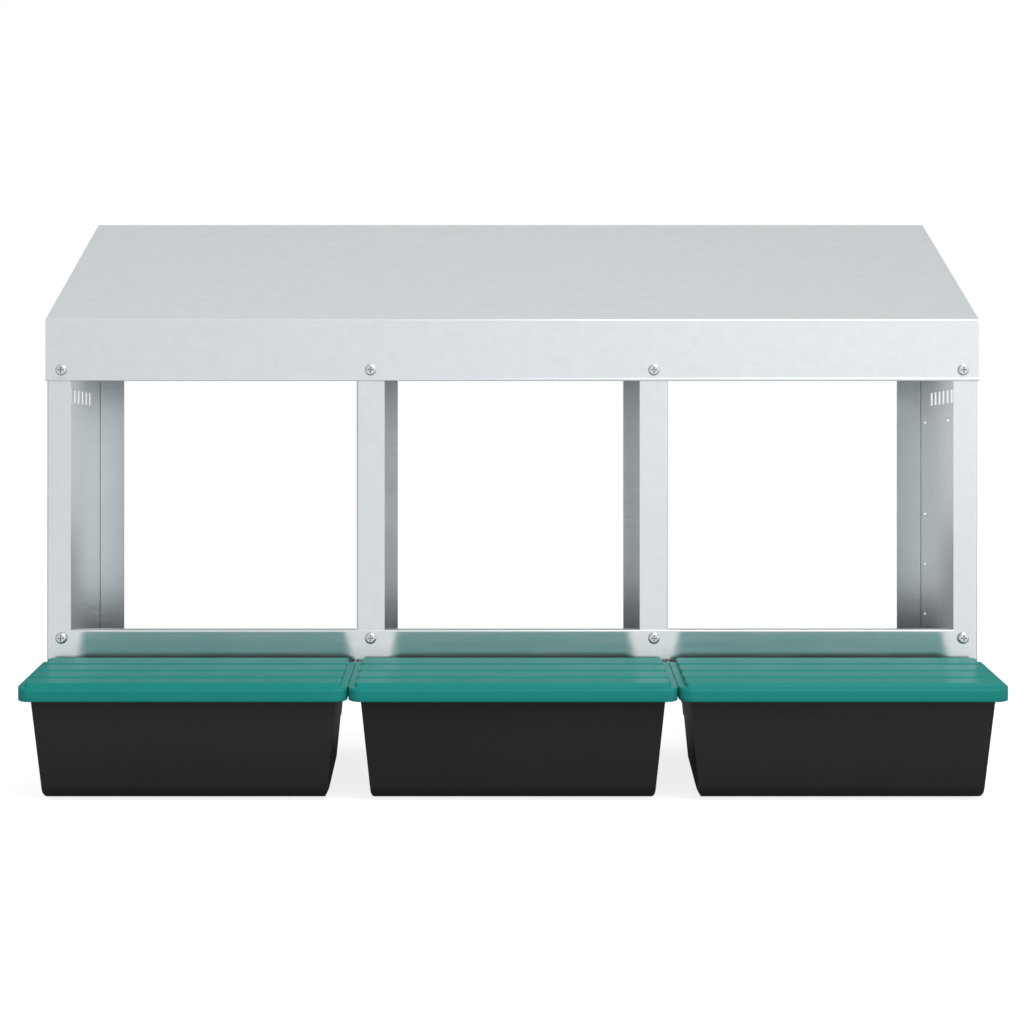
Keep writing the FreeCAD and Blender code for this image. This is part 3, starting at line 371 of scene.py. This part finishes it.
def lid_rows():
    """Depths of the mesh rows, closer together where the surface turns."""
    turns = [math.radians(turn) for turn in steps(0, 90, CORNER_ROWS)]
    rows = [LID_LOW.y + LID_CORNER * (1 - math.cos(turn)) for turn in turns]
    y = rows[-1] + 1
    while y < LID_HIGH.y - 1.8:
        rows.append(y)
        near_groove = min(abs(y - spot) for spot in GROOVE_SPOTS) < FINE_NEAR_GROOVE
        y += FINE_ROW if near_groove else WIDE_ROW
    return rows + [LID_HIGH.y - step for step in BACK_ROWS]


def lid_columns():
    """Distances of the mesh columns from the middle, as on a lid with square corners."""
    columns = [-LID_HALF + step for step in EDGE_COLUMNS]
    columns += steps(-LID_HALF + MIDDLE_INSET, LID_HALF - MIDDLE_INSET, MIDDLE_COLUMNS)
    return columns + [LID_HALF - step for step in reversed(EDGE_COLUMNS)]


def lid_surface(bm):
    """The upper face, as rows of corners from the front to the back."""
    columns = lid_columns()
    grid = []
    for y in lid_rows():
        corner_inset = rounded_drop(y - LID_LOW.y, LID_CORNER)
        row = []
        for column in columns:
            # near a rounded corner the outer columns move in with the outline
            shift = corner_inset * smooth((abs(column) - STRAIGHT_HALF) / (LID_HALF - STRAIGHT_HALF))
            x = column - math.copysign(shift, column)
            row.append(bm.verts.new((x, y, lid_top(y) + lid_height(x, y))))
        grid.append(row)
    for low_row, high_row in zip(grid, grid[1:]):
        join_rows(bm, low_row, high_row)
    return grid


def outwards_at(spot):
    """Direction away from the lid at a place on its outline."""
    side = math.copysign(1, spot.x)
    behind_corner = spot.y - LID_LOW.y - LID_CORNER
    if behind_corner >= 0:
        return Vector((side, 0))
    if abs(spot.x) > LID_HALF - LID_CORNER:
        return Vector((spot.x - side * (LID_HALF - LID_CORNER), behind_corner)).normalized()
    return Vector((0, -1))


def lid_skirt(bm, grid):
    """The skirt, from the back on the left, round the front, to the back on the right."""
    left = [row[0] for row in reversed(grid)]
    front = grid[0][1:-1]
    right = [row[-1] for row in grid]
    last = left + front + right
    outline = [Vector((vertex.co.x, vertex.co.y)) for vertex in last]
    for share, out in SKIRT_RINGS:
        ring = []
        for spot in outline:
            place = spot + outwards_at(spot) * out
            top = lid_top(spot.y) - LID_STEP - SKIRT_TOP
            bottom = lid_top(spot.y) - LID_STEP - LID_SKIRT
            ring.append(bm.verts.new((place.x, place.y, top + (bottom - top) * share)))
        join_rows(bm, last, ring)
        last = ring


def pin_bars(bay, centre):
    """Two short bars along X where the lid turns on its pins."""
    low, high = box_mm(f"lid_hinge_pins_{bay}")
    bm = bmesh.new()
    for side in (-1, 1):
        spot = Vector((centre + side * (LID_HALF - 1), (low.y + high.y) / 2, (low.z + high.z) / 2))
        place = Matrix.Translation(spot) @ Matrix.Rotation(math.pi / 2, 4, "Y")
        bmesh.ops.create_cone(
            bm, cap_ends=True, segments=32, radius1=PIN_HOLE, radius2=PIN_HOLE,
            depth=PIN_BAR, matrix=place)
    bmesh.ops.scale(bm, vec=(MM, MM, MM), verts=bm.verts)
    return add_object("bars", bm)


def open_holes(piece, bars):
    """Cuts the bars out of the piece for good."""
    modifier = piece.modifiers.new("holes", "BOOLEAN")
    modifier.operation = "DIFFERENCE"
    modifier.solver = "EXACT"
    modifier.object = bars
    bpy.context.view_layer.update()
    evaluated = piece.evaluated_get(bpy.context.evaluated_depsgraph_get())
    cut = bpy.data.meshes.new_from_object(evaluated)
    piece.modifiers.clear()
    piece.data = cut
    bpy.data.objects.remove(bars)


def moulded_lid(bay):
    """The lid as one moulded sheet: upper face, turned-down skirt, and the same again inside."""
    low, high = box_mm(f"egg_lid_{bay}")
    centre = (low.x + high.x) / 2
    bm = bmesh.new()
    lid_skirt(bm, lid_surface(bm))
    bmesh.ops.remove_doubles(bm, verts=bm.verts, dist=SAME_SPOT)
    thicken(bm, Vector((0, 0, 1)), LID_WALL)
    bmesh.ops.translate(bm, vec=(centre, 0, 0), verts=bm.verts)
    bmesh.ops.scale(bm, vec=(MM, MM, MM), verts=bm.verts)
    lid = add_object(f"moulded_lid_{bay}", bm)
    open_holes(lid, pin_bars(bay, centre))
    dress(lid, GREEN, f"lid_{bay}", f"egg_lid_{bay}")


for bay in BAYS:
    moulded_lid(bay)


# ---------------------------------------------------------------- front band

BAND_LEAN_HIGH = math.radians(8.8)     # how far the pressed face leans in just below its top edge
BAND_LEAN_LOW = math.radians(7.2)      # how far it leans in at its lower edge
BAND_SHEET = 0.9
BAND_BEND = 1.2                        # radius of the fold at its top edge
PRESS_START = 1.5                      # how far beside a post the pressing starts
PRESS_RUN = 16.0                       # how far it then takes to reach its depth
SIDE_FLANGE = 24                       # front flange of a side panel; its back flange is wider
FOLD_STEP = 3                          # first stretch of the fold behind the top edge


def band_profile(share, low, high):
    """Heights and depths (behind the face) down the band; share is 0 at a post, 1 between two."""
    profile = []
    for turn in steps(90, 0, 5):
        angle = math.radians(turn)
        rise = BAND_BEND * math.sin(angle)
        depth = BAND_BEND - BAND_BEND * math.cos(angle)
        profile.append((high - BAND_BEND + rise, depth))
    top = high - BAND_BEND
    depth = 0.0
    rows = steps(top, low, 20)
    for above, z in zip(rows, rows[1:]):
        down = (top - z) / (top - low)
        lean = BAND_LEAN_HIGH + (BAND_LEAN_LOW - BAND_LEAN_HIGH) * down
        depth += (above - z) * math.tan(lean)
        profile.append((z, share * depth))
    return profile


def post_limits():
    """Left and right edges of the four front flanges that the band is screwed to."""
    limits = []
    for name in ("side_panel_left", "partition_left", "partition_right", "side_panel_right"):
        near, far = (corner.x for corner in box_mm(name))
        if name == "side_panel_left":
            far = near + SIDE_FLANGE
        if name == "side_panel_right":
            near = far - SIDE_FLANGE
        limits.append((near, far))
    return limits


def band_columns(posts, left, right):
    """Places of the mesh columns along the band, closer together beside the posts.

    The two outermost ones are left out, so the band ends where the side flanges begin.
    """
    columns = set()
    for near, far in posts:
        columns.update((near, far))
        for edge, away in ((near, -1), (far, 1)):
            columns.update(edge + away * step for step in steps(PRESS_START, PRESS_START + PRESS_RUN, 12))
    flat = PRESS_START + PRESS_RUN
    for (_, start), (end, _) in zip(posts, posts[1:]):
        columns.update(steps(start + flat, end - flat, 8))
    return sorted({round(x, 3) for x in columns if left < x < right})


def pressed_band():
    """The rail under the bays, pressed back between the posts, with a fold behind its top edge."""
    low, high = box_mm("front_band")
    posts = post_limits()
    bm = bmesh.new()
    lines = []
    for x in band_columns(posts, low.x, high.x):
        gap = min(max(near - x, x - far, 0) for near, far in posts)
        share = smooth((gap - PRESS_START) / PRESS_RUN)
        surface_y = low.y + BAND_SHEET / 2
        face = [(surface_y + depth, z) for z, depth in band_profile(share, low.z, high.z)]
        fold = [(high.y, face[0][1]), (face[0][0] + FOLD_STEP, face[0][1])]
        lines.append((gap, [bm.verts.new((x, y, z)) for y, z in fold + face]))
    for (gap, line), (next_gap, next_line) in zip(lines, lines[1:]):
        # no stiffening fold where a post stands
        folded = min(gap, next_gap) > PRESS_START - 0.1
        first = 0 if folded else 2
        join_rows(bm, line[first:], next_line[first:])
    loose = [vertex for vertex in bm.verts if not vertex.link_faces]
    bmesh.ops.delete(bm, geom=loose, context="VERTS")
    thicken(bm, Vector((0, -1, 0)), BAND_SHEET / 2)
    bmesh.ops.scale(bm, vec=(MM, MM, MM), verts=bm.verts)
    band = add_object("pressed_band", bm)
    dress(band, METAL, "nest", "front_band")
    sharpen = band.modifiers.new("edges", "EDGE_SPLIT")
    sharpen.split_angle = math.radians(50)


pressed_band()


# ---------------------------------------------------------------- trays and mats

TROUGH_CORNER = 9.0        # upright corners of the trough, in millimetres
TROUGH_DEEP = 0.03         # in metres: the trough's upright corners lie this near to the front,
CORNER_LONG = 0.03         # and are at least this long
TRAY_SOFT = 0.8            # width of its softened edges, in millimetres
MAT_SOFT = 1.5


def upright_corner_edges(bm, front):
    """The four slanting edges where the trough's front meets its sides, outside and inside."""
    found = []
    for edge in bm.edges:
        first, last = (vertex.co for vertex in edge.verts)
        length = edge.calc_length()
        upright = length >= CORNER_LONG and abs(first.z - last.z) >= 0.8 * length
        at_front = max(first.y, last.y) < front + TROUGH_DEEP
        if upright and at_front and len(edge.link_faces) == 2:
            if edge.calc_face_angle() > math.radians(70):
                found.append(edge)
    return found


def soften(piece, width):
    """Rounds the sharp edges of a solid without moving its faces."""
    weld = piece.modifiers.new("join", "WELD")
    weld.merge_threshold = 0.00001
    bevel = piece.modifiers.new("soft_edges", "BEVEL")
    bevel.width = width * MM
    bevel.segments = 3
    bevel.limit_method = "ANGLE"
    bevel.angle_limit = math.radians(35)
    bevel.use_clamp_overlap = True


def moulded_tray(bay):
    """The CAD tray with rounded upright corners on its trough and softened edges."""
    name = f"nest_tray_{bay}"
    bm = bmesh.new()
    bm.from_mesh(nodes[name].data)
    bmesh.ops.remove_doubles(bm, verts=bm.verts, dist=0.00002)
    bmesh.ops.dissolve_limit(bm, angle_limit=math.radians(1), verts=bm.verts, edges=bm.edges)
    corners = upright_corner_edges(bm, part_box(name)[0][1])
    bmesh.ops.bevel(
        bm, geom=corners, offset=TROUGH_CORNER * MM, offset_type="OFFSET", segments=8,
        profile=0.5, affect="EDGES", clamp_overlap=True)
    tray = add_object(f"moulded_tray_{bay}", bm)
    dress(tray, BLACK, f"tray_{bay}", name)
    soften(tray, TRAY_SOFT)


for bay in BAYS:
    moulded_tray(bay)
    soften(nodes[f"nest_mat_{bay}"], MAT_SOFT)


# ---------------------------------------------------------------- stage, light and camera

FLOOR_HALF = 9             # metres
FLOOR_TO_CAMERA = 0.84     # glow of the floor as the camera sees it
ROOM_LIGHT = 1.25

# brightness of the room as reflections see it
FRONT_LEFT_TO_RIGHT = [(0.0, 0.42), (0.35, 0.59), (0.65, 0.94), (1.0, 1.0)]
BACK_LOW_TO_HIGH = [(0.0, 0.58), (0.10, 0.50), (0.22, 0.16), (0.50, 0.18), (0.68, 0.66), (1.0, 0.72)]

CAMERA_X = -0.0142
CAMERA_AWAY = 2.115        # from the plane of the front flanges
CAMERA_HIGH = 0.313


def studio_floor():
    """A pale level floor that glows a little, so that it reads as a white table."""
    material, tree, shader = new_material("studio_floor")
    shader.inputs["Base Color"].default_value = (0.30, 0.30, 0.30, 1)
    shader.inputs["Roughness"].default_value = 0.9
    shader.inputs["Specular IOR Level"].default_value = 0.0
    shader.inputs["Emission Color"].default_value = (1, 1, 1, 1)
    # reflections see a bright floor in front of the nest and a dim one under and behind it
    axes = tree.nodes.new("ShaderNodeSeparateXYZ")
    link(tree, coordinates(tree), axes.inputs["Vector"])
    glow = spread(tree, axes.outputs["Y"], 0.60, 0.02, -0.75, -0.25)
    rays = tree.nodes.new("ShaderNodeLightPath")
    strength = tree.nodes.new("ShaderNodeMix")
    strength.inputs["B"].default_value = FLOOR_TO_CAMERA
    link(tree, rays.outputs["Is Camera Ray"], strength.inputs["Factor"])
    link(tree, glow, strength.inputs["A"])
    link(tree, strength.outputs["Result"], shader.inputs["Emission Strength"])
    bm = bmesh.new()
    corners = ((-1, -1), (1, -1), (1, 1), (-1, 1))
    bm.faces.new([bm.verts.new((x * FLOOR_HALF, y * FLOOR_HALF, 0)) for x, y in corners])
    bmesh.ops.subdivide_edges(bm, edges=bm.edges, cuts=6, use_grid_fill=True)
    floor = add_object("studio_floor", bm)
    floor.data.materials.append(material)


def key_light():
    """One soft lamp, high up in front on the right."""
    data = bpy.data.lights.new("key", "AREA")
    data.shape = "RECTANGLE"
    data.size = 1.4
    data.size_y = 1.4
    data.energy = 26
    lamp = bpy.data.objects.new("key", data)
    lamp.location = (0.9, -1.6, 2.2)
    lamp.rotation_mode = "QUATERNION"
    target = Vector((0, 0, 0.25))
    lamp.rotation_quaternion = (target - lamp.location).to_track_quat("-Z", "Y")
    bpy.context.scene.collection.objects.link(lamp)


def studio_world():
    """White to the eye; for reflections, a soft room that is darker on the left and behind."""
    world = bpy.data.worlds.new("studio")
    world.use_nodes = True
    tree = world.node_tree
    background = tree.nodes["Background"]
    place = tree.nodes.new("ShaderNodeTexCoord")
    axes = tree.nodes.new("ShaderNodeSeparateXYZ")
    link(tree, place.outputs["Generated"], axes.inputs["Vector"])
    # -Y is the front: rays towards it have a low value here
    front_or_back = spread(tree, axes.outputs["Y"], 0, 1, -0.15, 0.15)
    across = spread(tree, axes.outputs["X"], 0, 1, -1, 1)
    height = spread(tree, axes.outputs["Z"], 0, 1, 0, 1)
    front = grey_ramp(tree, across, FRONT_LEFT_TO_RIGHT)
    back = grey_ramp(tree, height, BACK_LOW_TO_HIGH)
    room = blend_colours(tree, front_or_back, front, back)
    rays = tree.nodes.new("ShaderNodeLightPath")
    white = (1 / ROOM_LIGHT,) * 3
    seen = blend_colours(tree, rays.outputs["Is Camera Ray"], room, white)
    link(tree, seen, background.inputs["Color"])
    background.inputs["Strength"].default_value = ROOM_LIGHT
    bpy.context.scene.world = world


def photo_camera():
    data = bpy.data.cameras.new("camera")
    data.lens = 74.4
    data.sensor_width = 36
    data.shift_x = 0.0137
    data.shift_y = -0.041
    data.clip_start = 0.05
    data.clip_end = 50
    camera = bpy.data.objects.new("camera", data)
    camera.location = (CAMERA_X, FRONT_Y * MM - CAMERA_AWAY, CAMERA_HIGH)
    camera.rotation_euler = (math.pi / 2, 0, 0)
    bpy.context.scene.collection.objects.link(camera)
    bpy.context.scene.camera = camera


studio_floor()
key_light()
studio_world()
photo_camera()
bpy.context.scene.view_settings.view_transform = "Standard"
